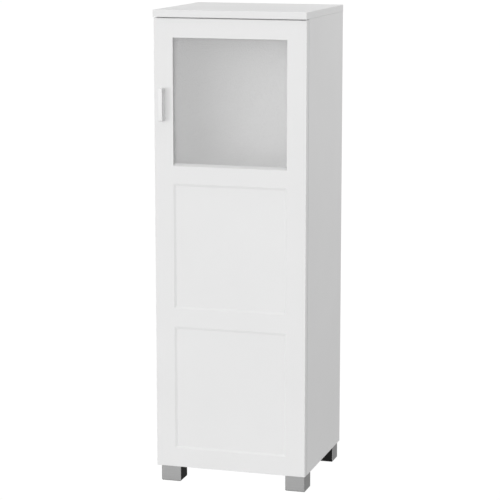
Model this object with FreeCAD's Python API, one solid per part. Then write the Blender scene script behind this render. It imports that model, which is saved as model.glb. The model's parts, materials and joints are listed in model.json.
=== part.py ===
"""Tall bathroom cabinet with one door: frosted window above, two recessed panels below.

Millimetres. +Z is up, the floor is Z = 0, the front looks along -Y and +X is the hinge side.
The origin is the centre of the whole object's footprint, the handle included.
"""
import os

import FreeCAD
import Part

V = FreeCAD.Vector
UP = V(0, 0, 1)
BACKWARD = V(0, 1, 0)
RIGHT = V(1, 0, 0)

# Carcass boards
CARCASS_W = 400.0
CARCASS_D = 342.0
BODY_H = 1166.0
BOARD_T = 16.0
TOP_T = 18.0
TOP_OVER_SIDE = 0.5
TOP_OVER_DOOR = 5.0
EDGE_BREAK = 0.8
BACK_T = 3.0
BACK_INSET = 10.0
GROOVE_D = 6.0
SLIP = 0.5
SHELF_SET = 12.0
SHELF_SLACK = 1.0
WALL_RAIL_H = 100.0
WALL_HOLE_R = 4.0
WALL_HOLE_PITCH = 240.0

# Feet
FOOT_H = 48.0
FOOT_W = 53.0
FOOT_D = 52.0
FOOT_INSET_X = 5.0
FOOT_INSET_BACK = 3.0
FOOT_BREAK = 2.0
FOOT_BEND = 3.0
FOOT_WALL = 4.0
FOOT_DECK = 10.0
FOOT_RIB_T = 2.4
FOOT_SCREW_SET = 12.0
FOOT_SCREW_HALF = 14.0
COVER_T = 1.2
PAD_R = 12.0
PAD_T = 1.5

# Door
DOOR_T = 18.0
DOOR_GAP = 3.0
DOOR_SIDE_REVEAL = 0.5
DOOR_TOP_REVEAL = 2.5
STILE_W = 50.0
RAIL_TOP_H = 48.5
WINDOW_H = 325.0
RAIL_UPPER_H = 45.0
RAIL_LOWER_H = 48.0
RAIL_BOTTOM_H = 50.0
PANEL_SINK = 2.5
PANEL_SLOPE_W = 6.0
PANEL_T = 6.0
TONGUE = 8.0
TENON_L = 14.5
TENON_INSET = 10.0
GLASS_SET = 10.0
GLASS_T = 4.0
REBATE = 8.0
SILL_RISE = 6.0
BUMPER_R = 4.0
BUMPER_FROM_END = 40.0
BUMPER_CLEAR = 0.3

# Handle
HANDLE_W = 10.5
HANDLE_H = 84.5
HANDLE_PROJ = 21.0
HANDLE_BAR_T = 10.5
HANDLE_LEG_H = 10.0
HANDLE_FROM_EDGE = 23.0
HANDLE_DROP = 217.0
HANDLE_CORNER = 4.0
HANDLE_BREAK = 1.0
HANDLE_THREAD = 9.0

# Concealed hinge, a fixed set of hardware. Its own axes: u runs from the side panel's inner face
# into the cabinet, v runs forward from the carcass front.
HINGE_FROM_END = 100.0
ARM_PIN = (8.0, -2.4)
CUP_PIN = (-6.0, 6.2)
LINK_BENDS = ((-2.04, 11.36), (6.68, 4.66))
LINK_T = 2.4
LINK_HALF = 5.0
LINK_EYE_R = 2.8
PIN_R = 1.5
RUN_FIT = 0.08
CUP_R = 17.5
CUP_D = 11.5
CUP_EDGE = 4.0
CUP_FLOOR = 1.0
CUP_HOLLOW_R = 16.3
CUP_HOLLOW_HALF = 6.0
CUP_PIN_HALF = 8.0
FLANGE_T = 1.0
FLANGE_R = 19.0
EAR_R = 6.0
EAR_CUT = 3.0
CUP_SCREW_SET = 9.5
CUP_SCREW_HALF = 24.0
PLATE_T = 2.0
PLATE_SET = 37.0
PLATE_SCREW_HALF = 17.0
RIB_T = 6.0
RIB_HALF = 5.4
RIB_FRONT = 15.0
RIB_REAR = 21.0
ARM_T = 1.4
ARM_HALF = 7.0
ARM_EYE_R = 3.4
ARM_REAR = 23.0
ARM_LIFT = 1.0
ARM_WEB_SET = 9.0
ARM_SCREWS = (-8.0, 11.0)
ARM_SCREW_L = 5.0

# Connectors: small fasteners and their holes have a few flat sides instead of a round
PEG_SIDES = 6
PLUG_SIDES = 12
DOWEL_R = 4.0
DOWEL_IN = 11.0
DOWEL_OUT = 24.0
CAM_R = 7.5
CAM_H = 12.5
CAM_SET = 24.0
BOLT_R = 3.0
BOLT_OUT = 16.0
BOLT_FROM_FRONT = 90.0
BOLT_FROM_BACK = 100.0
DOWEL_STEP = 32.0
RAIL_BOLT_DROP = 70.0
RAIL_DOWEL_DROP = 35.0
SHELF_PIN_R = 2.5
SHELF_PIN_IN = 9.0
SHELF_PIN_OUT = 9.0
SHELF_PIN_FROM_EDGE = 60.0
SHELF_PIN_PITCH = 32.0
SHELF_PIN_STEPS = 2
TAB_T = 2.0
TAB_HALF = 5.0
SCREW_R = 2.0
SCREW_HEAD_R = 3.8
SCREW_HEAD_H = 1.8
SCREW_IN = 12.0
CUP_SCREW_R = 1.75
CUP_SCREW_IN = 11.0
CUP_SCREW_HEAD_R = 3.3
CUP_SCREW_HEAD_H = 1.2

# Derived places
Y_BACK = (HANDLE_PROJ + DOOR_T + DOOR_GAP + CARCASS_D) / 2
Y_CARCASS = Y_BACK - CARCASS_D
Y_DOOR_BACK = Y_CARCASS - DOOR_GAP
Y_DOOR = Y_DOOR_BACK - DOOR_T
Y_BACK1 = Y_BACK - BACK_INSET
Y_BACK0 = Y_BACK1 - BACK_T
Y_RAIL = Y_BACK0 - BOARD_T
Y_GROOVE0 = Y_DOOR + PANEL_SINK
Y_GROOVE1 = Y_GROOVE0 + PANEL_T
Y_GLASS = Y_DOOR + GLASS_SET
Y_BEAD = Y_GLASS + GLASS_T
Y_BOLTS = (Y_CARCASS + BOLT_FROM_FRONT, Y_BACK - BOLT_FROM_BACK)
X_OUT = CARCASS_W / 2
X_IN = X_OUT - BOARD_T
X_DOOR = X_OUT - DOOR_SIDE_REVEAL
X_OPEN = X_DOOR - STILE_W
X_HANDLE = -X_DOOR + HANDLE_FROM_EDGE
Z_LOW = FOOT_H
Z_HIGH = FOOT_H + BODY_H
DOOR_H = BODY_H - DOOR_TOP_REVEAL
PANEL_H = (DOOR_H - RAIL_TOP_H - WINDOW_H - RAIL_UPPER_H - RAIL_LOWER_H - RAIL_BOTTOM_H) / 2
Z_LOW_PANEL = Z_LOW + RAIL_BOTTOM_H
Z_RAIL_LOWER = Z_LOW_PANEL + PANEL_H
Z_MID_PANEL = Z_RAIL_LOWER + RAIL_LOWER_H
Z_RAIL_UPPER = Z_MID_PANEL + PANEL_H
Z_WINDOW = Z_RAIL_UPPER + RAIL_UPPER_H
Z_RAIL_TOP = Z_WINDOW + WINDOW_H
Z_DOOR_TOP = Z_LOW + DOOR_H
Z_FIXED = Z_RAIL_UPPER + (RAIL_UPPER_H - BOARD_T) / 2
Z_LOOSE = Z_RAIL_LOWER + (RAIL_LOWER_H - BOARD_T) / 2
Z_HANDLE = Z_DOOR_TOP - HANDLE_DROP
HINGE_Z = (Z_LOW + HINGE_FROM_END, Z_LOW + DOOR_H / 2, Z_DOOR_TOP - HINGE_FROM_END)
TINY = 0.01

os.makedirs("parts", exist_ok=True)


def box(x0, x1, y0, y1, z0, z1):
    """Box between two corners given in any order."""
    low = V(min(x0, x1), min(y0, y1), min(z0, z1))
    return Part.makeBox(abs(x1 - x0), abs(y1 - y0), abs(z1 - z0), low)


def rod(start, end, radius):
    """Cylinder from one point to another."""
    along = end - start
    return Part.makeCylinder(radius, along.Length, start, along)


def peg(start, end, radius, sides=PEG_SIDES):
    """Straight pin with flat sides from one point to another, for a fastener or its hole."""
    along = end - start
    spoke = (RIGHT if along.cross(UP).Length < TINY else UP) * radius
    corners = [start + FreeCAD.Rotation(along, 360.0 * k / sides).multVec(spoke) for k in range(sides)]
    return prism(corners, along)


def turned(outline, start, along):
    """Solid of revolution: outline holds (radius, height) points, height runs along the axis."""
    points = [V(r, 0, h) for r, h in outline]
    face = Part.Face(Part.makePolygon(points + points[:1]))
    solid = face.revolve(V(0, 0, 0), V(0, 0, 1), 360)
    solid.Placement = FreeCAD.Placement(start, FreeCAD.Rotation(V(0, 0, 1), along))
    return solid


def prism(outline, along):
    """Flat outline extruded along a vector."""
    return Part.Face(Part.makePolygon(outline + outline[:1])).extrude(along)


def join(first, *rest):
    """One solid from touching or crossing solids."""
    return first.fuse(list(rest)).removeSplitter()


def take(body, tools):
    """Body less every tool."""
    return body.cut(tools).removeSplitter()


def edges_where(solid, test):
    """The solid's edges whose bounding box passes a test."""
    return [edge for edge in solid.Edges if test(edge.BoundBox)]


def save(node, solids):
    """Write one node: a single solid, or a group of separate ones."""
    shape = solids if isinstance(solids, Part.Shape) else Part.makeCompound(solids)
    shape.exportStep("parts/" + node + ".step")


def screw(seat, along, length, radius=SCREW_R, head_r=SCREW_HEAD_R, head_h=SCREW_HEAD_H):
    """Screw whose head sits on the seat point, pointing along a unit vector."""
    return join(peg(seat - along * head_h, seat, head_r), peg(seat, seat + along * length, radius))


# Knock-down connectors: each joint is a dowel, a bolt and a cam, with holes of the same size
dowels = []
bolts = []
cams = []
side_holes = {-1: [], 1: []}
top_holes = []


def add_dowel(mouth, into, far_board):
    """Dowel through a joint's mouth, and its hole split between the two boards."""
    start = mouth - into * DOWEL_OUT
    end = mouth + into * DOWEL_IN
    dowels.append(peg(start, end, DOWEL_R))
    far_board.append(peg(mouth, end, DOWEL_R))
    return [peg(start, mouth, DOWEL_R)]


def add_bolt(mouth, into, face, cam_axis, far_board):
    """Bolt screwed into the far board and the cam that grips it, whose face lies at a point."""
    end = mouth + into * DOWEL_IN
    bolts.append(peg(mouth - into * BOLT_OUT, end, BOLT_R))
    far_board.append(peg(mouth, end, BOLT_R))
    cam = peg(face, face + cam_axis * CAM_H, CAM_R, PLUG_SIDES)
    cams.append(cam)
    return [peg(mouth - into * CAM_SET, mouth, BOLT_R), cam]


bottom_holes = []
fixed_holes = []
rail_holes = []
for s in (-1, 1):
    out = RIGHT * s
    for y in Y_BOLTS:
        y_dowel = y + DOWEL_STEP
        for z_under, holes in ((Z_LOW, bottom_holes), (Z_FIXED, fixed_holes)):
            z_mid = z_under + BOARD_T / 2
            holes += add_dowel(V(s * X_IN, y_dowel, z_mid), out, side_holes[s])
            cam_face = V(s * (X_IN - CAM_SET), y, z_under)
            holes += add_bolt(V(s * X_IN, y, z_mid), out, cam_face, UP, side_holes[s])
        x_mid = s * (X_IN + BOARD_T / 2)
        side_holes[s] += add_dowel(V(x_mid, y_dowel, Z_HIGH), UP, top_holes)
        cam_face = V(s * X_IN, y, Z_HIGH - CAM_SET)
        side_holes[s] += add_bolt(V(x_mid, y, Z_HIGH), UP, cam_face, out, top_holes)
    y_mid = Y_RAIL + BOARD_T / 2
    rail_holes += add_dowel(V(s * X_IN, y_mid, Z_HIGH - RAIL_DOWEL_DROP), out, side_holes[s])
    z_bolt = Z_HIGH - RAIL_BOLT_DROP
    cam_face = V(s * (X_IN - CAM_SET), Y_RAIL, z_bolt)
    rail_holes += add_bolt(V(s * X_IN, y_mid, z_bolt), out, cam_face, BACKWARD, side_holes[s])
save("cam_locks", cams)
save("cam_bolts", bolts)
save("wood_dowels", dowels)

# Feet: a hollow ribbed block with a bright cover bent round its two outer faces
foot_screws = []
foot_pads = []


def foot(sx, sy, name):
    """One foot at side sx and end sy; its screws bite into the bottom board."""
    xo = sx * (X_OUT - FOOT_INSET_X)
    yo = Y_CARCASS if sy < 0 else Y_BACK - FOOT_INSET_BACK
    xi = xo - sx * FOOT_W
    yi = yo - sy * FOOT_D
    xm = (xi + xo) / 2
    ym = (yi + yo) / 2
    block = box(xi, xo, yi, yo, PAD_T, Z_LOW)
    block = block.makeFillet(FOOT_BEND, edges_where(
        block, lambda b: b.ZLength > FOOT_H / 2 and abs(b.XMin - xo) < TINY and abs(b.YMin - yo) < TINY))
    block = block.makeChamfer(FOOT_BREAK, edges_where(block, lambda b: b.ZMax < PAD_T + TINY))
    core_room = box(xi, xo - sx * COVER_T, yi, yo - sy * COVER_T, 0, Z_LOW)
    z_deck = Z_LOW - FOOT_DECK
    x_well = (xi + sx * FOOT_WALL, xo - sx * (COVER_T + FOOT_WALL))
    y_well = (yi + sy * FOOT_WALL, yo - sy * (COVER_T + FOOT_WALL))
    well = box(*x_well, *y_well, 0, z_deck)
    rib_half = FOOT_RIB_T / 2
    z_rib = PAD_T + FOOT_BREAK
    ribs = [box(*x_well, ym - rib_half, ym + rib_half, z_rib, z_deck),
            box(xm - rib_half, xm + rib_half, *y_well, z_rib, z_deck),
            peg(V(xm, ym, PAD_T), V(xm, ym, z_deck), PAD_R, PLUG_SIDES)]
    core = join(block.common(core_room).cut(well), *ribs)
    seats = [V(xi + sx * FOOT_SCREW_SET, ym + d, z_deck) for d in (-FOOT_SCREW_HALF, FOOT_SCREW_HALF)]
    save("foot_core_" + name, take(core, [peg(p, p + UP * FOOT_DECK, SCREW_R) for p in seats]))
    save("foot_cover_" + name, block.cut(core_room))
    for seat in seats:
        foot_screws.append(screw(seat, UP, FOOT_DECK + SCREW_IN))
        bottom_holes.append(peg(seat + UP * FOOT_DECK, seat + UP * (FOOT_DECK + SCREW_IN), SCREW_R))
    foot_pads.append(peg(V(xm, ym, 0), V(xm, ym, PAD_T), PAD_R, PLUG_SIDES))


for sx, side_name in ((-1, "left"), (1, "right")):
    for sy, end_name in ((-1, "front"), (1, "rear")):
        foot(sx, sy, end_name + "_" + side_name)
save("foot_screws", foot_screws)
save("foot_pads", foot_pads)

# Loose shelf on four pins, with spare pin holes above and below
shelf_pins = []
z_pin = Z_LOOSE - TAB_T / 2 - SHELF_PIN_R
for s in (-1, 1):
    for y in (Y_CARCASS + SHELF_PIN_FROM_EDGE, Y_BACK0 - SHELF_PIN_FROM_EDGE):
        outer = V(s * (X_IN + SHELF_PIN_IN), y, z_pin)
        stem = peg(V(s * (X_IN - SHELF_PIN_OUT), y, z_pin), outer, SHELF_PIN_R)
        tab = box(s * (X_IN - SHELF_PIN_OUT), s * X_IN, y - TAB_HALF, y + TAB_HALF, Z_LOOSE - TAB_T, Z_LOOSE)
        shelf_pins.append(join(stem, tab))
        for step in range(-SHELF_PIN_STEPS, SHELF_PIN_STEPS + 1):
            lift = UP * (step * SHELF_PIN_PITCH)
            side_holes[s].append(peg(V(s * X_IN, y, z_pin) + lift, outer + lift, SHELF_PIN_R))
save("shelf_pins", shelf_pins)


def shelf(x_half, y_end, z_under):
    """Shelf board with the sharp corners of its front edge broken."""
    board = box(-x_half, x_half, Y_CARCASS + SHELF_SET, y_end, z_under, z_under + BOARD_T)
    front = edges_where(board, lambda b: b.YMax < Y_CARCASS + SHELF_SET + TINY and b.XLength > x_half)
    return board.makeChamfer(EDGE_BREAK, front)


save("shelf_loose", shelf(X_IN - SHELF_SLACK, Y_BACK0 - SHELF_SLACK, Z_LOOSE))
save("shelf_fixed", take(shelf(X_IN, Y_BACK0, Z_FIXED), fixed_holes))

# Concealed hinges, one on each height in HINGE_Z


def hinge_point(place, z):
    """A hinge's own (u, v) place as a point of the cabinet."""
    return V(X_IN - place[0], Y_CARCASS - place[1], z)


def across_z(point, half, radius):
    """Upright pin, or its hole, centred on a point."""
    return peg(point - UP * half, point + UP * half, radius, PLUG_SIDES)


x_cup = X_DOOR - CUP_EDGE - CUP_R
x_ear = x_cup - CUP_SCREW_SET
x_rib = X_IN - PLATE_T - RIB_T
x_web = x_rib - ARM_T
y_plate = Y_CARCASS + PLATE_SET


def hinge_plate(z):
    """Wing plate screwed to the side panel, with the rib that the arm sits on."""
    base = box(X_IN - PLATE_T, X_IN, y_plate - RIB_FRONT, y_plate + ARM_REAR, z - RIB_HALF, z + RIB_HALF)
    z_tip = PLATE_SCREW_HALF + EAR_R
    wing = box(X_IN - PLATE_T, X_IN, y_plate - EAR_R, y_plate + EAR_R, z - z_tip, z + z_tip)
    wing = wing.makeChamfer(EAR_CUT, edges_where(wing, lambda b: b.DiagonalLength < PLATE_T + TINY))
    rib = box(x_rib, X_IN - PLATE_T, y_plate - RIB_FRONT, y_plate + RIB_REAR, z - RIB_HALF, z + RIB_HALF)
    screws = [V(X_IN - PLATE_T, y_plate, z + d) for d in (-PLATE_SCREW_HALF, PLATE_SCREW_HALF)]
    holes = [peg(p, p + RIGHT * PLATE_T, SCREW_R) for p in screws]
    clamps = [V(x_rib, y_plate + d, z) for d in ARM_SCREWS]
    holes += [peg(p, p + RIGHT * ARM_SCREW_L, SCREW_R) for p in clamps]
    return take(join(base, wing, rib), holes)


def hinge_arm(z):
    """Channel arm clamped on the rib; its two cheeks narrow to the eye for the pin."""
    eye = hinge_point(ARM_PIN, z)
    y_end = y_plate + ARM_REAR
    y_web = Y_CARCASS + ARM_WEB_SET
    web = box(x_web, x_rib, y_web, y_end, z - ARM_HALF, z + ARM_HALF)
    x_low = X_IN - PLATE_T - ARM_LIFT
    cheeks = []
    for z0 in (z - ARM_HALF, z + ARM_HALF - ARM_T):
        outline = [V(x_web, y_end, z0), V(x_web, y_web, z0), V(eye.x - ARM_EYE_R, eye.y, z0),
                   V(eye.x + ARM_EYE_R, eye.y, z0), V(x_low, y_web + ARM_WEB_SET, z0), V(x_low, y_end, z0)]
        cheeks.append(prism(outline, UP * ARM_T))
        cheeks.append(rod(V(eye.x, eye.y, z0), V(eye.x, eye.y, z0 + ARM_T), ARM_EYE_R))
    holes = [across_z(eye, ARM_HALF, PIN_R)]
    clamps = [V(x_web, y_plate + d, z) for d in ARM_SCREWS]
    holes += [peg(p, p + RIGHT * ARM_T, SCREW_R) for p in clamps]
    return take(join(web, *cheeks), holes)


def hinge_link(z):
    """Cranked link: a bent strip with an eye on the arm's pin and one on the cup's pin."""
    path = [hinge_point(p, z - LINK_HALF) for p in (CUP_PIN,) + LINK_BENDS + (ARM_PIN,)]
    width = UP * (2 * LINK_HALF)
    pieces = []
    for a, b in zip(path[:-1], path[1:]):
        side = (b - a).normalize().cross(UP) * (LINK_T / 2)
        pieces.append(prism([a + side, b + side, b - side, a - side], width))
    pieces += [peg(p, p + width, LINK_T / 2, PLUG_SIDES) for p in path[1:-1]]
    pieces += [rod(p, p + width, LINK_EYE_R) for p in (path[0], path[-1])]
    return take(join(*pieces), [peg(p, p + width, PIN_R + RUN_FIT, PLUG_SIDES) for p in (path[0], path[-1])])


def hinge_cup(z):
    """Turned cup with a flange and two ears, hollowed for the link."""
    mouth = V(x_cup, Y_DOOR_BACK, z)
    into = BACKWARD * -1
    outline = [(0, -FLANGE_T), (FLANGE_R, -FLANGE_T), (FLANGE_R, 0), (CUP_R, 0), (CUP_R, CUP_D), (0, CUP_D)]
    body = turned(outline, mouth, into)
    z_tip = CUP_SCREW_HALF + EAR_R
    ears = box(x_ear - EAR_R, x_ear + EAR_R, Y_DOOR_BACK, Y_DOOR_BACK + FLANGE_T, z - z_tip, z + z_tip)
    ears = ears.makeChamfer(EAR_CUT, edges_where(ears, lambda b: b.DiagonalLength < FLANGE_T + TINY))
    seats = [V(x_ear, Y_DOOR_BACK, z + d) for d in (-CUP_SCREW_HALF, CUP_SCREW_HALF)]
    hollow = rod(mouth + into * (CUP_D - CUP_FLOOR), mouth + BACKWARD * (2 * FLANGE_T), CUP_HOLLOW_R)
    slot = box(x_cup - CUP_R, x_cup + CUP_R, Y_DOOR_BACK - CUP_D, Y_DOOR_BACK + 2 * FLANGE_T,
               z - CUP_HOLLOW_HALF, z + CUP_HOLLOW_HALF)
    holes = [hollow.common(slot), across_z(hinge_point(CUP_PIN, z), CUP_PIN_HALF, PIN_R)]
    holes += [peg(p, p + BACKWARD * FLANGE_T, CUP_SCREW_R) for p in seats]
    return take(join(body, ears), holes)


stile_holes = []
plate_screws = []
cup_screws = []
for z in HINGE_Z:
    stile_holes.append(rod(V(x_cup, Y_DOOR_BACK - CUP_D, z), V(x_cup, Y_DOOR_BACK, z), CUP_R))
    for d in (-PLATE_SCREW_HALF, PLATE_SCREW_HALF):
        seat = V(X_IN - PLATE_T, y_plate, z + d)
        plate_screws.append(screw(seat, RIGHT, PLATE_T + SCREW_IN))
        side_holes[1].append(peg(seat + RIGHT * PLATE_T, seat + RIGHT * (PLATE_T + SCREW_IN), SCREW_R))
    for d in (-CUP_SCREW_HALF, CUP_SCREW_HALF):
        seat = V(x_ear, Y_DOOR_BACK + FLANGE_T, z + d)
        into = BACKWARD * -1
        reach = FLANGE_T + CUP_SCREW_IN
        cup_screws.append(screw(seat, into, reach, CUP_SCREW_R, CUP_SCREW_HEAD_R, CUP_SCREW_HEAD_H))
        stile_holes.append(peg(seat + into * FLANGE_T, seat + into * reach, CUP_SCREW_R))
save("hinge_plates", [hinge_plate(z) for z in HINGE_Z])
save("hinge_plate_screws", plate_screws)
save("hinge_arms", [hinge_arm(z) for z in HINGE_Z])
save("hinge_arm_screws", [screw(V(x_web, y_plate + d, z), RIGHT, ARM_T + ARM_SCREW_L)
                          for z in HINGE_Z for d in ARM_SCREWS])
save("hinge_arm_pins", [across_z(hinge_point(ARM_PIN, z), ARM_HALF, PIN_R) for z in HINGE_Z])
save("hinge_links", [hinge_link(z) for z in HINGE_Z])
save("hinge_cups", [hinge_cup(z) for z in HINGE_Z])
save("hinge_cup_screws", cup_screws)
save("hinge_cup_pins", [across_z(hinge_point(CUP_PIN, z), CUP_PIN_HALF, PIN_R) for z in HINGE_Z])

# Boards of the carcass
wall_holes = []
for s in (-1, 1):
    x = s * WALL_HOLE_PITCH / 2
    z = Z_HIGH - WALL_RAIL_H / 2
    wall_holes.append(rod(V(x, Y_RAIL, z), V(x, Y_BACK1, z), WALL_HOLE_R))
for s, name in ((-1, "left"), (1, "right")):
    board = box(s * X_IN, s * X_OUT, Y_CARCASS, Y_BACK, Z_LOW, Z_HIGH)
    corners = edges_where(board, lambda b: b.ZLength > BODY_H / 2 and abs(b.XMin) > X_OUT - TINY)
    board = board.makeChamfer(EDGE_BREAK, corners)
    groove = box(s * X_IN, s * (X_IN + GROOVE_D + SLIP), Y_BACK0, Y_BACK1, Z_LOW, Z_HIGH)
    save("side_panel_" + name, take(board, [groove] + side_holes[s]))
x_top = X_OUT + TOP_OVER_SIDE
top = box(-x_top, x_top, Y_DOOR - TOP_OVER_DOOR, Y_BACK, Z_HIGH, Z_HIGH + TOP_T)
save("top_board", take(top.makeChamfer(EDGE_BREAK, top.Edges), top_holes))
bottom = box(-X_IN, X_IN, Y_CARCASS, Y_BACK0, Z_LOW, Z_LOW + BOARD_T)
save("bottom_board", take(bottom, bottom_holes))
wall_rail = box(-X_IN, X_IN, Y_RAIL, Y_BACK0, Z_HIGH - WALL_RAIL_H, Z_HIGH)
save("wall_rail", take(wall_rail, rail_holes + wall_holes))
back = box(-X_IN - GROOVE_D, X_IN + GROOVE_D, Y_BACK0, Y_BACK1, Z_LOW, Z_HIGH)
save("back_panel", take(back, wall_holes))

# Door frame: stiles with mortises, rails with tenons, a groove for the panels, a rebate for the pane
rails = {"top": (Z_RAIL_TOP, Z_DOOR_TOP), "upper": (Z_RAIL_UPPER, Z_WINDOW),
         "lower": (Z_RAIL_LOWER, Z_MID_PANEL), "bottom": (Z_LOW, Z_LOW_PANEL)}
panels = {"lower": (Z_LOW_PANEL, Z_RAIL_LOWER), "middle": (Z_MID_PANEL, Z_RAIL_UPPER)}
reach = TONGUE + SLIP
grooves = [box(-X_OPEN - reach, X_OPEN + reach, Y_GROOVE0, Y_GROOVE1, z0 - reach, z1 + reach)
           for z0, z1 in panels.values()]
rebate = box(-X_OPEN - REBATE, X_OPEN + REBATE, Y_GLASS, Y_DOOR_BACK, Z_WINDOW - REBATE, Z_RAIL_TOP + REBATE)
mortise = X_OPEN + TENON_L + SLIP
mortises = [box(-mortise, mortise, Y_GROOVE0, Y_GROOVE1, z0 + TENON_INSET, z1 - TENON_INSET)
            for z0, z1 in rails.values()]
handle_screw_zs = [Z_HANDLE + d * (HANDLE_H - HANDLE_LEG_H) / 2 for d in (-1, 1)]
handle_holes = [peg(V(X_HANDLE, Y_DOOR, z), V(X_HANDLE, Y_DOOR_BACK, z), SCREW_R) for z in handle_screw_zs]


def door_rim(bounds):
    """True for a front edge on the door's outer outline."""
    on_front = bounds.YMax < Y_DOOR + TINY
    on_side = bounds.XLength < TINY and abs(bounds.XMin) > X_DOOR - TINY
    on_end = bounds.ZLength < TINY and not Z_LOW + TINY < bounds.ZMin < Z_DOOR_TOP - TINY
    return on_front and (on_side or on_end)


for s, name, holes in ((-1, "left", handle_holes), (1, "right", stile_holes)):
    stile = box(s * X_OPEN, s * X_DOOR, Y_DOOR, Y_DOOR_BACK, Z_LOW, Z_DOOR_TOP)
    stile = stile.makeChamfer(EDGE_BREAK, edges_where(stile, door_rim))
    save("door_stile_" + name, take(stile, grooves + [rebate] + mortises + holes))
for name, (z0, z1) in rails.items():
    rail = box(-X_OPEN, X_OPEN, Y_DOOR, Y_DOOR_BACK, z0, z1)
    rim = edges_where(rail, door_rim)
    rail = rail.makeChamfer(EDGE_BREAK, rim) if rim else rail
    rail = take(rail, grooves + [rebate])
    x_tenon = X_OPEN + TENON_L
    tenons = [box(s * X_OPEN, s * x_tenon, Y_GROOVE0, Y_GROOVE1, z0 + TENON_INSET, z1 - TENON_INSET)
              for s in (-1, 1)]
    rail = join(rail, *tenons)
    if name == "upper":
        slope = [V(-X_OPEN, Y_DOOR, z1), V(-X_OPEN, Y_GLASS, z1), V(-X_OPEN, Y_GLASS, z1 + SILL_RISE)]
        rail = join(rail, prism(slope, RIGHT * (2 * X_OPEN)))
    save("door_rail_" + name, rail)

# Recessed panels: the border slopes down to a sunk field, a tongue sits in the frame's groove
for name, (z0, z1) in panels.items():
    body = box(-X_OPEN, X_OPEN, Y_DOOR, Y_GROOVE1, z0, z1)
    tongue = box(-X_OPEN - TONGUE, X_OPEN + TONGUE, Y_GROOVE0, Y_GROOVE1, z0 - TONGUE, z1 + TONGUE)
    x_field = X_OPEN - PANEL_SLOPE_W
    z_low = z0 + PANEL_SLOPE_W
    z_high = z1 - PANEL_SLOPE_W
    sunk = Part.makeWedge(-X_OPEN, Y_DOOR, z0, z_low, -x_field, X_OPEN, Y_GROOVE0, z1, z_high, x_field)
    save("door_panel_" + name, take(join(body, tongue), [sunk]))

# Frosted pane in its rebate, held by four mitred beads
x_pane = X_OPEN + REBATE
z_pane0 = Z_WINDOW - REBATE
z_pane1 = Z_RAIL_TOP + REBATE
save("glass_pane", box(-x_pane + SLIP, x_pane - SLIP, Y_GLASS, Y_BEAD, z_pane0 + SLIP, z_pane1 - SLIP))


def frame_corners(x_half, z0, z1):
    """Corners of an upright rectangle on the beads' front plane."""
    return [V(-x_half, Y_BEAD, z0), V(x_half, Y_BEAD, z0), V(x_half, Y_BEAD, z1), V(-x_half, Y_BEAD, z1)]


rim = frame_corners(x_pane, z_pane0, z_pane1)
sight = frame_corners(X_OPEN, Z_WINDOW, Z_RAIL_TOP)
beads = []
for k in range(len(rim)):
    n = (k + 1) % len(rim)
    beads.append(prism([rim[k], rim[n], sight[n], sight[k]], BACKWARD * (Y_DOOR_BACK - Y_BEAD)))
save("glazing_beads", beads)

# Bow handle: a rounded bar on two legs, with the finger gap behind it
y_grip = Y_DOOR - HANDLE_PROJ
x_half = HANDLE_W / 2
z_half = HANDLE_H / 2
bow = box(X_HANDLE - x_half, X_HANDLE + x_half, y_grip, Y_DOOR, Z_HANDLE - z_half, Z_HANDLE + z_half)
bow = bow.makeFillet(HANDLE_CORNER, edges_where(bow, lambda b: b.YMax < y_grip + TINY and b.XLength > x_half))
bow = bow.makeChamfer(HANDLE_BREAK, edges_where(bow, lambda b: b.XLength < TINY and b.YMin < Y_DOOR - TINY))
gap_half = z_half - HANDLE_LEG_H
y_bar = y_grip + HANDLE_BAR_T
gap = box(X_HANDLE - HANDLE_W, X_HANDLE + HANDLE_W, y_bar, Y_DOOR, Z_HANDLE - gap_half, Z_HANDLE + gap_half)
gap = gap.makeFillet(HANDLE_CORNER, edges_where(gap, lambda b: b.YMax < y_bar + TINY and b.XLength > x_half))
thread_holes = [peg(V(X_HANDLE, Y_DOOR - HANDLE_THREAD, z), V(X_HANDLE, Y_DOOR, z), SCREW_R)
                for z in handle_screw_zs]
save("handle", take(bow, [gap] + thread_holes))
save("handle_screws", [screw(V(X_HANDLE, Y_DOOR_BACK, z), BACKWARD * -1, DOOR_T + HANDLE_THREAD)
                       for z in handle_screw_zs])

# Bumpers on the door's back, facing the left side panel's edge
bumpers = []
for z in (Z_LOW + BUMPER_FROM_END, Z_DOOR_TOP - BUMPER_FROM_END):
    foot_point = V(-X_IN - BOARD_T / 2, Y_DOOR_BACK, z)
    bumpers.append(peg(foot_point, foot_point + BACKWARD * (DOOR_GAP - BUMPER_CLEAR), BUMPER_R, PLUG_SIDES))
save("door_bumpers", bumpers)
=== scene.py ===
# %% [markdown]
# # A tall white bathroom cabinet
#
# The cabinet is a white box on four bright feet, with one framed door: a frosted window above and two
# recessed panels below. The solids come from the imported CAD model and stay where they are. This lesson
# gives them their light and their finishes, and adds the small pieces that a solid model keeps plain:
# the soft-edged handle, the folded foot covers, and the heads of screws and cams.

# %% Load the frame
import json

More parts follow.
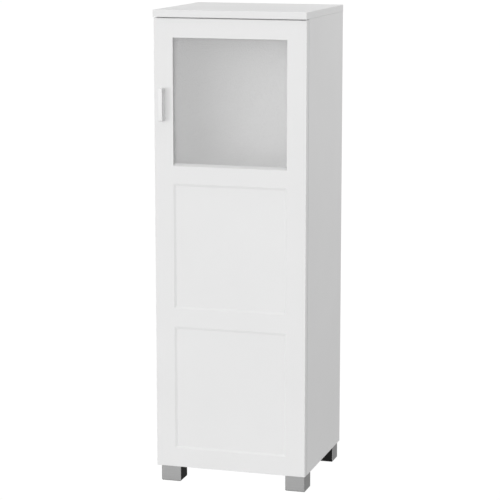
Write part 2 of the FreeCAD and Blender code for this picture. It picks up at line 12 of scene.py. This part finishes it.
import bpy
import numpy as np
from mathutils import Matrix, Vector


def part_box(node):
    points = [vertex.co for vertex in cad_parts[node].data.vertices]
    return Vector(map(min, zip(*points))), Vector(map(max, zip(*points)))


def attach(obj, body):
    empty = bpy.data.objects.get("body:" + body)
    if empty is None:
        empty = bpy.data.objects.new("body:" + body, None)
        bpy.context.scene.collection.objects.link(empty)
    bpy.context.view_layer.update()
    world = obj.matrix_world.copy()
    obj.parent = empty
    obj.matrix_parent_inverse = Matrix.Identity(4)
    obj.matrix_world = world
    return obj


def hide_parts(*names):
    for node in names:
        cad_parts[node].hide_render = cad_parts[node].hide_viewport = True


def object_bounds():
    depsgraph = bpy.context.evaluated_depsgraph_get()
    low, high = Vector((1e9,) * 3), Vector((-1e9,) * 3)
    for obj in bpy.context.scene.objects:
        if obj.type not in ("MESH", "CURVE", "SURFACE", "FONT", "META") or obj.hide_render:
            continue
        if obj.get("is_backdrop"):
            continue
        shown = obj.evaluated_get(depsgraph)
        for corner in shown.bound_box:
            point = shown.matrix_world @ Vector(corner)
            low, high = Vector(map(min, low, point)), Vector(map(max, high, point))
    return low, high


MM = 0.001
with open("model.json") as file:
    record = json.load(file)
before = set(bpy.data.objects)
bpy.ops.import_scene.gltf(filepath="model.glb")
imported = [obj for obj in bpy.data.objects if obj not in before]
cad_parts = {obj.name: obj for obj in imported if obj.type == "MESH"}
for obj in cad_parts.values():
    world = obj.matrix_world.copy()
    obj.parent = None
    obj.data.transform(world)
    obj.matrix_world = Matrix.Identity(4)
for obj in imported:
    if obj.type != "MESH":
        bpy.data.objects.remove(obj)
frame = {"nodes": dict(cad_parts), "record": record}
nodes = frame["nodes"]
scene = bpy.context.scene
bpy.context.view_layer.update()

# %% [markdown]
# ## Where the camera stands
#
# The picture looks down a little and shows the door and the right side. A long lens keeps the sides of the
# cabinet nearly parallel. One could aim the camera with a constraint, but a fixed place and two angles say
# the same thing and are easier to read.

# %% Camera
LENS = 140.8
SENSOR = 36.0
CAMERA_PLACE = (1.4502, -4.8293, 1.5116)
LOOK_DOWN = np.radians(10.252)
LOOK_LEFT = np.radians(16.69)

camera = bpy.data.objects.new("camera", bpy.data.cameras.new("camera"))
scene.collection.objects.link(camera)
camera.data.lens = LENS
camera.data.sensor_width = SENSOR
camera.location = CAMERA_PLACE
camera.rotation_euler = (np.pi / 2 - LOOK_DOWN, 0.0, LOOK_LEFT)
scene.camera = camera
scene.view_settings.view_transform = "Standard"
print("camera:", LENS, "mm at", CAMERA_PLACE)

# %% [markdown]
# ## A helper for shader nodes
#
# Every finish below is a small graph. Writing each node as one line keeps a graph readable from top to
# bottom. An input takes either a plain value or another node's output, which is then linked. Inputs are
# named, apart from those of arithmetic nodes, which are filled in order.


# %% Shader node helper
def feed(tree, socket, value):
    """Set an input to a plain value, or link it to another node's output."""
    if isinstance(value, bpy.types.NodeSocket):
        tree.links.new(value, socket)
    else:
        socket.default_value = value


def shade(tree, kind, **sockets):
    """New shader node with its inputs by name."""
    made = tree.nodes.new("ShaderNode" + kind)
    for name, value in sockets.items():
        feed(tree, made.inputs[name.replace("_", " ")], value)
    return made


def reckon(tree, kind, operation, *values):
    """New arithmetic node with its inputs in order; returns its result."""
    made = tree.nodes.new("ShaderNode" + kind)
    made.operation = operation
    for socket, value in zip(made.inputs, values):
        feed(tree, socket, value)
    return next(out for out in made.outputs if out.enabled)


# %% [markdown]
# ## Studio light
#
# The picture is a catalogue shot: pure white all round, a bright front, a softer top and a greyer right side.
# A room that is evenly bright would make all three alike, and would leave the compartment behind the window
# dark. So four soft glows stand in an even room, as softboxes would: a narrow bright one before the door, a
# wide one over the top, a weak one at the right, behind the side, and the light that a white floor sends
# back up. Each is the cosine of the angle to its axis, raised to a power. The camera itself sees plain white
# in every direction.

# %% Surroundings
ROOM_LEVEL = 0.48
ROOM_SLOPE = (-0.06, 0.0, 0.05)
FRONT_GLOW = dict(axis=(-0.065, -0.985, 0.155), focus=24.0, gain=3.36)
TOP_GLOW = dict(axis=(0.0, 0.0, 1.0), focus=5.0, gain=1.215)
REAR_GLOW = dict(axis=(0.857, 0.504, 0.1), focus=2.0, gain=0.158)
FLOOR_BOUNCE = dict(axis=(0.0, -0.3, -0.95), focus=4.0, gain=0.53)
BACKDROP_GLOW = 1.02
WHITE = (1.0, 1.0, 1.0, 1.0)

room = bpy.data.worlds.new("white_room")
room.use_nodes = True
room.node_tree.nodes.clear()
scene.world = room
direction = shade(room.node_tree, "TexCoord").outputs["Generated"]
lean = reckon(room.node_tree, "VectorMath", "DOT_PRODUCT", direction, ROOM_SLOPE)
light = reckon(room.node_tree, "Math", "ADD", lean, ROOM_LEVEL)
for glow in (FRONT_GLOW, TOP_GLOW, REAR_GLOW, FLOOR_BOUNCE):
    facing = reckon(room.node_tree, "VectorMath", "DOT_PRODUCT", direction, glow["axis"])
    ahead = reckon(room.node_tree, "Math", "MAXIMUM", facing, 0.0)
    lobe = reckon(room.node_tree, "Math", "POWER", ahead, glow["focus"])
    light = reckon(room.node_tree, "Math", "MULTIPLY_ADD", lobe, glow["gain"], light)
seen = shade(room.node_tree, "LightPath").outputs["Is Camera Ray"]
strength = shade(room.node_tree, "Mix", Factor=seen, A=light, B=BACKDROP_GLOW).outputs["Result"]
sky = shade(room.node_tree, "Background", Color=WHITE, Strength=strength)
shade(room.node_tree, "OutputWorld", Surface=sky.outputs[0])
print("room:", ROOM_LEVEL, "even,", FRONT_GLOW["gain"], "more before the door")

# %% [markdown]
# Two lamps add what a soft room cannot. A small one far off to the left draws the narrow shadow beside the
# handle, and a soft panel high on the right lifts the top of that side. The floor is plain white and shows no
# shadow, as in the picture, so it only glows for the camera and is left out of every other ray.

# %% Lamps and floor
LAMP_FROM = (-0.6, -0.8, 0.03)
LAMP_STRENGTH = 0.50
LAMP_ANGLE = np.radians(2.5)
PANEL_PLACE = (1.6, 0.5, 1.9)
PANEL_AIM = (0.2, 0.05, 0.8)
PANEL_POWER = 5.0
PANEL_SIZE = 0.8
FLOOR_HALF = 12.0
FLOOR_DROP = 0.5 * MM

lamp = bpy.data.objects.new("key_lamp", bpy.data.lights.new("key_lamp", "SUN"))
lamp.data.energy = LAMP_STRENGTH
lamp.data.angle = LAMP_ANGLE
lamp.rotation_euler = (-Vector(LAMP_FROM)).to_track_quat("-Z", "Y").to_euler()
scene.collection.objects.link(lamp)

panel = bpy.data.objects.new("side_panel_light", bpy.data.lights.new("side_panel_light", "AREA"))
panel.data.energy = PANEL_POWER
panel.data.size = PANEL_SIZE
panel.location = PANEL_PLACE
panel.rotation_euler = (Vector(PANEL_AIM) - Vector(PANEL_PLACE)).to_track_quat("-Z", "Y").to_euler()
scene.collection.objects.link(panel)

floor_mesh = bpy.data.meshes.new("floor")
floor_signs = ((-1, -1), (1, -1), (1, 1), (-1, 1))
floor_corners = [(x * FLOOR_HALF, y * FLOOR_HALF, -FLOOR_DROP) for x, y in floor_signs]
floor_mesh.from_pydata(floor_corners, [], [(0, 1, 2, 3)])
floor = bpy.data.objects.new("floor", floor_mesh)
scene.collection.objects.link(floor)
white_floor = bpy.data.materials.new("white_floor")
white_floor.use_nodes = True
white_floor.node_tree.nodes.clear()
shine = shade(white_floor.node_tree, "Emission", Color=WHITE, Strength=BACKDROP_GLOW)
shade(white_floor.node_tree, "OutputMaterial", Surface=shine.outputs[0])
floor_mesh.materials.append(white_floor)
floor.visible_diffuse = False
floor.visible_glossy = False
floor.visible_transmission = False
floor.visible_shadow = False
floor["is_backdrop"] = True
print("lamps: key", LAMP_STRENGTH, "W/m2, side panel", PANEL_POWER, "W")

# %% [markdown]
# ## Effects that several finishes share
#
# No painted or rolled surface is perfectly even. Three effects come back in most finishes: a slow drift of
# tone and gloss over a hand's width, a fine grain that gives the surface its touch, and the streaks that a
# brush or a mould leaves. Each is a node group with its own inputs, so that a finish only says how coarse and
# how strong it is. Noise seldom leaves the middle of its range, so drift and streaks stretch that middle.


# %% Shared node groups
def new_group(name, inputs, outputs):
    """Shader group with a Place input, float inputs and named outputs; returns tree, inputs and outputs."""
    tree = bpy.data.node_groups.new(name, "ShaderNodeTree")
    tree.interface.new_socket(name="Place", in_out="INPUT", socket_type="NodeSocketVector")
    for label in inputs:
        tree.interface.new_socket(name=label, in_out="INPUT", socket_type="NodeSocketFloat")
    for label, kind in outputs.items():
        tree.interface.new_socket(name=label, in_out="OUTPUT", socket_type="NodeSocket" + kind)
    source = tree.nodes.new("NodeGroupInput")
    sink = tree.nodes.new("NodeGroupOutput")
    return tree, source.outputs, sink.inputs


NOISE_MIDDLE = dict(From_Min=0.3, From_Max=0.7)
DRIFT_NOISE = dict(Detail=4.0, Roughness=0.55)
GRAIN_NOISE = dict(Detail=3.0, Roughness=0.6)
STREAK_NOISE = dict(Detail=5.0, Roughness=0.65)

drift_tree, given, result = new_group("slow_drift", ["Scale"], dict(Tone="Float"))
cloud = shade(drift_tree, "TexNoise", Vector=given["Place"], Scale=given["Scale"], **DRIFT_NOISE)
even = shade(drift_tree, "MapRange", Value=cloud.outputs[0], **NOISE_MIDDLE)
drift_tree.links.new(even.outputs[0], result["Tone"])

grain_tree, given, result = new_group("fine_grain", ["Scale", "Depth"], dict(Height="Float", Normal="Vector"))
grit = shade(grain_tree, "TexNoise", Vector=given["Place"], Scale=given["Scale"], **GRAIN_NOISE)
relief = shade(grain_tree, "Bump", Height=grit.outputs[0], Strength=1.0, Distance=given["Depth"])
grain_tree.links.new(grit.outputs[0], result["Height"])
grain_tree.links.new(relief.outputs[0], result["Normal"])

streak_tree, given, result = new_group("brush_streaks", ["Depth"], dict(Streak="Float", Normal="Vector"))
strokes = shade(streak_tree, "TexNoise", Vector=given["Place"], Scale=1.0, **STREAK_NOISE)
contrast = shade(streak_tree, "MapRange", Value=strokes.outputs[0], **NOISE_MIDDLE)
ridges = shade(streak_tree, "Bump", Height=strokes.outputs[0], Strength=1.0, Distance=given["Depth"])
streak_tree.links.new(contrast.outputs[0], result["Streak"])
streak_tree.links.new(ridges.outputs[0], result["Normal"])
print("groups:", [g.name for g in bpy.data.node_groups])

# %% [markdown]
# ## Finishes
#
# A finish is one Principled shader. What is the same all over is set on the shader itself, and only what
# changes over the surface comes from the groups: a colour between a darker and a lighter tone, a gloss
# between two roughness values, and a relief. Everything is measured in metres on the object's own
# coordinates, so a grain of 1 mm stays 1 mm on a foot and on a side panel.


# %% Finish helper
def new_finish(name, **constants):
    """Material with one Principled shader; returns material, tree, shader and the object's coordinates."""
    material = bpy.data.materials.new(name)
    material.use_nodes = True
    tree = material.node_tree
    tree.nodes.clear()
    shader = shade(tree, "BsdfPrincipled", **constants)
    shade(tree, "OutputMaterial", Surface=shader.outputs[0])
    return material, tree, shader, shade(tree, "TexCoord").outputs["Object"]


def use_group(tree, group, **sockets):
    """Place a shared group in a finish."""
    made = tree.nodes.new("ShaderNodeGroup")
    made.node_tree = group
    for name, value in sockets.items():
        feed(tree, made.inputs[name], value)
    return made.outputs


def tint(tree, mask, tones, shader):
    """Base Color runs from the first tone to the second with the mask."""
    ramp = shade(tree, "ValToRGB", Fac=mask)
    for stop, tone in zip(ramp.color_ramp.elements, tones):
        stop.color = (*tone, 1.0)
    tree.links.new(ramp.outputs["Color"], shader.inputs["Base Color"])


def gloss(tree, mask, rough, shader):
    """Roughness runs from the first value to the second with the mask."""
    span = shade(tree, "MapRange", Value=mask, To_Min=rough[0], To_Max=rough[1])
    tree.links.new(span.outputs[0], shader.inputs["Roughness"])


# %% [markdown]
# Two kinds of finish cover every surface but the glass. A grained one drifts slowly and has a fine grain, as
# paint, foil, plating, plastic and rubber do. A streaked one has long marks in one direction, as brushed
# metal and wood do.


# %% Two kinds of finish
def grained_finish(name, tones, rough, drift, grain, depth, **constants):
    """Finish with slow drift in tone and gloss and a fine grain; drift and grain are counts per metre."""
    material, tree, shader, place = new_finish(name, **constants)
    tone = use_group(tree, drift_tree, Place=place, Scale=drift)["Tone"]
    tint(tree, tone, tones, shader)
    gloss(tree, tone, rough, shader)
    touch = use_group(tree, grain_tree, Place=place, Scale=grain, Depth=depth)["Normal"]
    tree.links.new(touch, shader.inputs["Normal"])
    return material


def streaked_finish(name, tones, rough, stretch, depth, **constants):
    """Finish with streaks: stretch holds the streaks per metre along x, y and z."""
    material, tree, shader, place = new_finish(name, **constants)
    aimed = shade(tree, "Mapping", Vector=place, Scale=stretch).outputs[0]
    strokes = use_group(tree, streak_tree, Place=aimed, Depth=depth)
    tint(tree, strokes["Streak"], tones, shader)
    gloss(tree, strokes["Streak"], rough, shader)
    tree.links.new(strokes["Normal"], shader.inputs["Normal"])
    return material


def greys(dark, light):
    """Two neutral tones of these levels."""
    return (dark, dark, dark), (light, light, light)


# %% [markdown]
# The boards carry a white foil with a faint pearl grain. The door is lacquered: smoother, with the slow
# ripple that lacquer keeps when it dries. The back is thin painted hardboard, whose fibres show through the
# paint. The handle has a satin paint of its own.

# %% White finishes
finishes = {}
finishes["board_white"] = grained_finish(
    "white_foil", tones=greys(0.785, 0.805), rough=(0.40, 0.48),
    drift=6.0, grain=1100.0, depth=0.02 * MM, IOR=1.45)
finishes["door_white"] = grained_finish(
    "white_lacquer", tones=greys(0.79, 0.805), rough=(0.33, 0.40),
    drift=5.0, grain=420.0, depth=0.02 * MM, IOR=1.48)
finishes["back_board"] = grained_finish(
    "painted_hardboard", tones=greys(0.89, 0.93), rough=(0.55, 0.68),
    drift=60.0, grain=700.0, depth=0.06 * MM, IOR=1.45)
finishes["handle_satin"] = grained_finish(
    "satin_paint", tones=greys(0.83, 0.85), rough=(0.28, 0.36),
    drift=40.0, grain=1800.0, depth=0.01 * MM, IOR=1.5)
print("white finishes:", list(finishes))

# %% [markdown]
# The feet are black moulded blocks with a bright cover, brushed along its length: long sideways streaks that
# change quickly with height. The hidden hardware is nickel plated, the dowels are plain beech, and the pads
# under the feet are dark rubber.

# %% Metal, plastic, wood and rubber
BEECH = ((0.52, 0.34, 0.19), (0.68, 0.48, 0.29))
COVER_STREAKS = (14.0, 14.0, 900.0)
BEECH_FIBRES = (40.0, 700.0, 700.0)

finishes["foot_metal"] = streaked_finish(
    "brushed_cover", tones=greys(0.35, 0.42), rough=(0.46, 0.56),
    stretch=COVER_STREAKS, depth=0.03 * MM, Metallic=1.0)
finishes["hardware_steel"] = grained_finish(
    "nickel_plate", tones=greys(0.55, 0.66), rough=(0.24, 0.38),
    drift=90.0, grain=2500.0, depth=0.01 * MM, Metallic=1.0)
finishes["foot_plastic"] = grained_finish(
    "moulded_black", tones=greys(0.009, 0.014), rough=(0.50, 0.62),
    drift=45.0, grain=1600.0, depth=0.04 * MM, IOR=1.18)
finishes["soft_pad"] = grained_finish(
    "dark_rubber", tones=greys(0.045, 0.065), rough=(0.70, 0.85),
    drift=120.0, grain=2600.0, depth=0.05 * MM, IOR=1.5)
finishes["dowel_wood"] = streaked_finish(
    "plain_beech", tones=BEECH, rough=(0.50, 0.62),
    stretch=BEECH_FIBRES, depth=0.03 * MM, IOR=1.5)
print("finishes so far:", [m.name for m in finishes.values()])

# %% [markdown]
# The window is etched glass. Light goes through it, scatters in the white compartment and comes back, so the
# pane looks like a soft grey gradient. One could paint that gradient on the pane, but it would still be there
# with the door open. A rough transmission makes it by itself. A small share of the light turns back in the
# etched skin, which is why the transmission stays below one.

# %% Frosted glass
GLASS_THROUGH = 0.805
GLASS_TONE = (0.97, 0.97, 0.97, 1.0)
GLASS_ROUGH = (0.25, 0.30)
ETCH_GRAIN = 900.0
ETCH_DEPTH = 0.01 * MM

material, tree, shader, place = new_finish(
    "frosted_glass", Base_Color=GLASS_TONE, IOR=1.50, Transmission_Weight=GLASS_THROUGH)
etch = use_group(tree, grain_tree, Place=place, Scale=ETCH_GRAIN, Depth=ETCH_DEPTH)
gloss(tree, etch["Height"], GLASS_ROUGH, shader)
tree.links.new(etch["Normal"], shader.inputs["Normal"])
finishes["frosted_glass"] = material
print("glass lets through", GLASS_THROUGH)

# %% [markdown]
# ## Dress the solids
#
# The record says which finish each solid takes, so the finishes are handed out by slot. The mesh of a solid
# is left as it is: only its material changes.

# %% Finish every solid
for row in frame["record"]["subparts"]:
    node = nodes[row["node"]]
    node.data.materials.clear()
    node.data.materials.append(finishes[row["material_slot"]])

# %% [markdown]
# ## Light behind the pane
#
# A path tracer hardly ever finds its way to a light through rough glass, so the compartment behind the pane
# would stay dark and noisy. One could trace many more rays. Here the pane is left out of shadow rays and of
# diffuse rays instead: light falls straight in, and only what the eye sees goes through the frosted glass.
# The key lamp would then also strike the pane's back through the pane itself, so that lamp leaves it out.

# %% Pane and light
pane = nodes["glass_pane"]
pane.visible_shadow = False
pane.visible_diffuse = False
not_for_lamp = bpy.data.collections.new("not_for_lamp")
not_for_lamp.objects.link(pane)
lamp.light_linking.receiver_collection = not_for_lamp
not_for_lamp.collection_objects[0].light_linking.link_state = "EXCLUDE"

# %% [markdown]
# ## From a grid of points to a piece
#
# Every new piece is a surface worked out as one array: rows of points, each row a closed ring. Neighbouring
# rings are joined by quads. A closed shape must have its faces pointing outwards, and the sign of its volume
# tells whether they do, so the helper turns them round where the volume comes out negative.


# %% Surface helper
def ring_faces(rows, columns, start):
    """Quads between rings of points numbered from start, and a cap on the first and the last ring."""
    index = start + np.arange(rows * columns).reshape(rows, columns)
    after = np.roll(index, -1, axis=1)
    quads = np.stack([index[:-1], after[:-1], after[1:], index[1:]], axis=-1).reshape(-1, 4)
    return quads.tolist() + [index[0, ::-1].tolist(), index[-1].tolist()]


def fan_volume(ring):
    """Six times the volume under a cap: the sum over its edges of a x b . m, with m the ring's middle."""
    return np.sum(np.cross(ring, np.roll(ring, -1, axis=0)) @ ring.mean(0))


def signed_volume(rings):
    """Volume inside rings: a sixth of the sum of a x b . c over the triangles of all quads and caps."""
    a, d = rings[:-1], rings[1:]
    b, c = np.roll(a, -1, axis=1), np.roll(d, -1, axis=1)
    walls = np.einsum("ijk,ijk->", np.cross(a, b), c) + np.einsum("ijk,ijk->", np.cross(a, c), d)
    return (walls + fan_volume(rings[-1]) - fan_volume(rings[0])) / 6


CREASE = np.radians(40.0)


def piece(name, copies, body, slot, replaced):
    """Object made of closed ring surfaces; each copy is an array of rows x columns x 3."""
    shapes = [r if signed_volume(r - r.mean((0, 1))) > 0 else r[:, ::-1] for r in copies]
    starts = np.cumsum([0] + [r.shape[0] * r.shape[1] for r in shapes])
    points = np.concatenate([r.reshape(-1, 3) for r in shapes])
    faces = sum((ring_faces(*r.shape[:2], start) for r, start in zip(shapes, starts)), [])
    mesh = bpy.data.meshes.new(name)
    mesh.from_pydata(points.tolist(), [], faces)
    mesh.shade_smooth()
    mesh.set_sharp_from_angle(angle=CREASE)
    mesh.materials.append(finishes[slot])
    made = bpy.data.objects.new(name, mesh)
    scene.collection.objects.link(made)
    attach(made, body)
    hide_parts(*replaced)
    print(name + ":", len(mesh.vertices), "points,", len(mesh.polygons), "faces")


# %% [markdown]
# ## The handle
#
# The handle is a short bow: two legs on the door and a bar before them, painted satin white. The solid has
# its outline with broken edges. Here the section is a soft rectangle instead, so that the light rolls round
# the bar. The outline is two U-shaped lines, an outer one and an inner one, and the section is stretched
# between them at every step.


# %% Handle
def soft_ring(count, power):
    """Unit rectangle with soft corners: x = sgn(cos t) |cos t|^(2/p), y = sgn(sin t) |sin t|^(2/p)."""
    turn = np.linspace(0, 2 * np.pi, count, endpoint=False)
    return tuple(np.sign(f) * np.abs(f) ** (2 / power) for f in (np.cos(turn), np.sin(turn)))


def bow_line(y_door, y_front, z_low, z_high, corner, arc_steps, leg_steps):
    """U-shaped line in the YZ plane: leg, quarter circle, run, quarter circle, leg, low end first."""
    turn = np.linspace(0, np.pi / 2, arc_steps)
    leg = np.linspace(y_door, y_front + corner, leg_steps, endpoint=False)
    y_half = np.concatenate([leg, y_front + corner * (1 - np.sin(turn))])
    rise = np.concatenate([np.zeros(leg_steps), corner * (1 - np.cos(turn))])
    y = np.concatenate([y_half, y_half[::-1]])
    z = np.concatenate([z_low + rise, z_high - rise[::-1]])
    return np.stack([np.zeros_like(y), y, z], axis=-1)


HANDLE_BOW = dict(corner=4.0 * MM, arc_steps=12, leg_steps=4)
HANDLE_BAR = 10.5 * MM
HANDLE_LEG = 10.0 * MM
SECTION_POINTS = 40
SECTION_POWER = 9.0

grip_low, grip_high = (np.array(p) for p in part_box("handle"))
(y_front, z_low), (y_door, z_high) = grip_low[1:], grip_high[1:]
outer = bow_line(y_door, y_front, z_low, z_high, **HANDLE_BOW)
inner = bow_line(y_door, y_front + HANDLE_BAR, z_low + HANDLE_LEG, z_high - HANDLE_LEG, **HANDLE_BOW)
middle = (outer + inner) / 2
reach = (outer - inner) / 2
across, along = soft_ring(SECTION_POINTS, SECTION_POWER)
half_wide = np.array([(grip_high[0] - grip_low[0]) / 2, 0, 0])
centre_x = np.array([(grip_high[0] + grip_low[0]) / 2, 0, 0])
bow = centre_x + middle[:, None] + reach[:, None] * along[None, :, None] + half_wide * across[None, :, None]
piece("handle_bow", [bow], "door", "handle_satin", ["handle"])

# %% [markdown]
# ## The foot covers
#
# Each foot has a cover folded from sheet: it runs along one outer face, bends round the corner and runs along
# the other, and its lower edge curls in a little. One could bend a flat strip with modifiers. A profile that
# is carried along a path is shorter and exact: the path is an L with a round corner, and the profile is the
# sheet's thickness with its curled edge.


# %% Foot covers
def fold_path(width, depth, bend, steps):
    """L-shaped line round a corner at the origin, and the unit direction into the foot at each point."""
    turn = np.linspace(0, np.pi / 2, steps)
    x = np.concatenate([[width], bend * (1 - np.sin(turn)), [0]])
    y = np.concatenate([[0], bend * (1 - np.cos(turn)), [depth]])
    inward_x = np.concatenate([[0], np.sin(turn), [1]])
    inward_y = np.concatenate([[1], np.cos(turn), [0]])
    return np.stack([x, y], -1), np.stack([inward_x, inward_y], -1)


def sheet_profile(thick, curl, z_low, z_high, steps):
    """Closed outline of the sheet as (distance inwards, height): face, curl of radius curl, inner face."""
    turn = np.linspace(0, np.arccos(1 - thick / curl), steps)
    inwards = np.concatenate([[0], curl * (1 - np.cos(turn)), [thick]])
    height = np.concatenate([[z_high], z_low + curl * (1 - np.sin(turn)), [z_high]])
    return inwards, height


COVER_BEND = 3.0 * MM
COVER_THICK = 1.2 * MM
COVER_CURL = 2.0 * MM
BEND_STEPS = 10
CURL_STEPS = 8

for end, outward_y in (("front", -1), ("rear", 1)):
    for side, outward_x in (("left", -1), ("right", 1)):
        name = "_".join(("foot_cover", end, side))
        low, high = (np.array(p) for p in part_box(name))
        corner_x = high[0] if outward_x > 0 else low[0]
        corner_y = high[1] if outward_y > 0 else low[1]
        path, inward = fold_path(high[0] - low[0], high[1] - low[1], COVER_BEND, BEND_STEPS)
        inwards, height = sheet_profile(COVER_THICK, COVER_CURL, low[2], high[2], CURL_STEPS)
        spot = path[:, None] + inward[:, None] * inwards[None, :, None]
        x = corner_x - outward_x * spot[..., 0]
        y = corner_y - outward_y * spot[..., 1]
        rings = np.stack([x, y, np.broadcast_to(height, x.shape)], axis=-1)
        piece("folded_" + name, [rings], "carcass", "foot_metal", [name])

# %% [markdown]
# ## Screws, cams, pads and bumpers
#
# The small fasteners are plain pegs in the solids, and all pegs of one kind share a node. Each gets a finer
# shape in its place, so the first step is to find the pegs again. One could write their places down once
# more, but the mesh already holds them: sorted along an axis, the points of two pegs lie a gap apart.


# %% Find the pegs
def peg_boxes(node, skip, gap):
    """Boxes of the separate pegs in a node, split where a gap opens along every axis but the skipped ones."""
    flat = np.empty(3 * len(nodes[node].data.vertices))
    nodes[node].data.vertices.foreach_get("co", flat)
    groups = [flat.reshape(-1, 3)]
    for axis in (k for k in range(3) if k not in skip):
        split = []
        for group in groups:
            group = group[np.argsort(group[:, axis])]
            split += np.split(group, np.flatnonzero(np.diff(group[:, axis]) > gap) + 1)
        groups = split
    return [(group.min(0), group.max(0)) for group in groups]


# %% [markdown]
# A fastener is a turned shape: a profile of radius and height spun round its axis. Its face may have a cross
# recess. One could cut that out with a boolean, but here it is a dip in the height wherever a point lies in
# one of two crossing bars, so the surface stays one closed grid.

# %% Turned shapes
FACE_RINGS = 12
SPOKES = 48
TINY_HUB = 0.02 * MM


def turned_peg(radii, heights, arm, half_slot, depth):
    """Spun profile: point (r cos t, r sin t, h); on the face the height drops by the depth of the cross."""
    turn = np.linspace(0, 2 * np.pi, SPOKES, endpoint=False)
    x = radii[:, None] * np.cos(turn)
    y = radii[:, None] * np.sin(turn)
    soft = half_slot / 2
    bars = [np.clip((half_slot - np.abs(p)) / soft, 0, 1) * np.clip((arm - np.abs(q)) / soft, 0, 1)
            for p, q in ((x, y), (y, x))]
    on_face = np.arange(len(radii))[:, None] < FACE_RINGS
    dip = depth * np.maximum(*bars) * on_face
    return np.stack([x, y, heights[:, None] - dip], axis=-1)


def place_peg(rings, centre, outward):
    """Turn a peg from its own axes to a place: its height runs along the outward unit vector."""
    side = np.roll(outward, 1)
    other = np.cross(outward, side)
    return centre + rings[..., :1] * side + rings[..., 1:2] * other + rings[..., 2:] * outward


# %% [markdown]
# All screws are the same kind with a pan head, thinner on the hinge cups. Each row says where a node's screws
# ride and which way their heads look: along an axis, with a sign. The cross is a share of the head's size.


# %% Screws
def screw_profile(head_r, head_h, shank_r, length):
    """Pan head that falls to half its height, h = H (1 - (r/R)^4 / 2), then a shank with a point."""
    face_r = np.linspace(TINY_HUB, head_r, FACE_RINGS)
    face_h = head_h * (1 - (face_r / head_r) ** 4 / 2)
    radii = np.concatenate([face_r, [head_r, shank_r, shank_r, TINY_HUB]])
    heights = np.concatenate([face_h, [0, 0, shank_r - length, -length]])
    return radii, heights


SCREW_SHANK = 1.7 * MM
PAN_HEAD_H = 1.8 * MM
THIN_HEAD_H = 1.2 * MM
CROSS_ARM = 0.55
CROSS_HALF_SLOT = 0.16
CROSS_DEPTH = 0.6
PEG_GAP = 8.0 * MM
SCREWS = (
    ("foot_screws", "carcass", 2, -1, PAN_HEAD_H),
    ("hinge_plate_screws", "carcass", 0, -1, PAN_HEAD_H),
    ("hinge_arm_screws", "carcass", 0, -1, PAN_HEAD_H),
    ("hinge_cup_screws", "door", 1, 1, THIN_HEAD_H),
    ("handle_screws", "door", 1, 1, PAN_HEAD_H),
)

for node, body, axis, sign, head_h in SCREWS:
    copies = []
    for low, high in peg_boxes(node, (axis,), PEG_GAP):
        head_r = np.delete(high - low, axis).max() / 2
        seat = (low + high) / 2
        seat[axis] = (high if sign > 0 else low)[axis] - sign * head_h
        profile = screw_profile(head_r, head_h, SCREW_SHANK, (high - low)[axis] - head_h)
        cross = (CROSS_ARM * head_r, CROSS_HALF_SLOT * head_r, CROSS_DEPTH * head_h)
        copies.append(place_peg(turned_peg(*profile, *cross), seat, np.eye(3)[axis] * sign))
    piece(node + "_crosshead", copies, body, "hardware_steel", [node])

# %% [markdown]
# A cam is a short drum in a round bore, turned with a screwdriver. Its shortest direction is its axis, and
# its face looks to where the hand comes from: inwards on the sides, down under the boards and forwards on
# the wall rail.


# %% Cams
def disc_profile(radius, height, edge):
    """Disc with a flat face and a rounded rim: the rim follows a quarter circle of radius edge."""
    turn = np.linspace(0, np.pi / 2, FACE_RINGS // 2)
    flat_r = np.linspace(TINY_HUB, radius - edge, FACE_RINGS // 2, endpoint=False)
    radii = np.concatenate([flat_r, radius - edge * (1 - np.sin(turn)), [radius]])
    heights = np.concatenate([np.full(len(flat_r), height), height - edge * (1 - np.cos(turn)), [0]])
    return radii, heights


CAM_GAP = 14.0 * MM
CAM_EDGE = 0.6 * MM
CAM_ARM = 0.6
CAM_HALF_SLOT = 0.14
CAM_DEPTH = 0.16

copies = []
for low, high in peg_boxes("cam_locks", (), CAM_GAP):
    centre = (low + high) / 2
    axis = int(np.argmin(high - low))
    sign = -np.sign(centre[0]) if axis == 0 else -1.0
    radius = np.delete(high - low, axis).max() / 2
    tall = (high - low)[axis]
    centre[axis] -= sign * tall / 2
    cross = (CAM_ARM * radius, CAM_HALF_SLOT * radius, CAM_DEPTH * tall)
    rings = turned_peg(*disc_profile(radius, tall, CAM_EDGE), *cross)
    copies.append(place_peg(rings, centre, np.eye(3)[axis] * sign))
piece("cam_faces", copies, "carcass", "hardware_steel", ["cam_locks"])

# %% [markdown]
# The bumpers behind the door are soft drops, round over most of their height. The pads under the feet are
# discs with a smaller rim. Both use the cam's profile with no recess: their cross has no arms and no depth.

# %% Bumpers and pads
BUMPER_RIM = 0.8
PAD_RIM = 0.4
NO_CROSS = (0.0, TINY_HUB, 0.0)
DOTS = (
    ("bumper_dots", "door_bumpers", "door", 1, 1, BUMPER_RIM),
    ("round_pads", "foot_pads", "carcass", 2, -1, PAD_RIM),
)

for name, node, body, axis, sign, rim in DOTS:
    copies = []
    for low, high in peg_boxes(node, (axis,), PEG_GAP):
        centre = (low + high) / 2
        tall = (high - low)[axis]
        centre[axis] -= sign * tall / 2
        radius = np.delete(high - low, axis).max() / 2
        rings = turned_peg(*disc_profile(radius, tall, rim * tall), *NO_CROSS)
        copies.append(place_peg(rings, centre, np.eye(3)[axis] * sign))
    piece(name, copies, body, "soft_pad", [node])

# %% [markdown]
# ## The model's size
#
# The box round every visible piece but the floor is printed, in metres.

# %% Visual size
low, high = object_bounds()
print("visual box:", [round(x, 4) for x in high - low], "m")
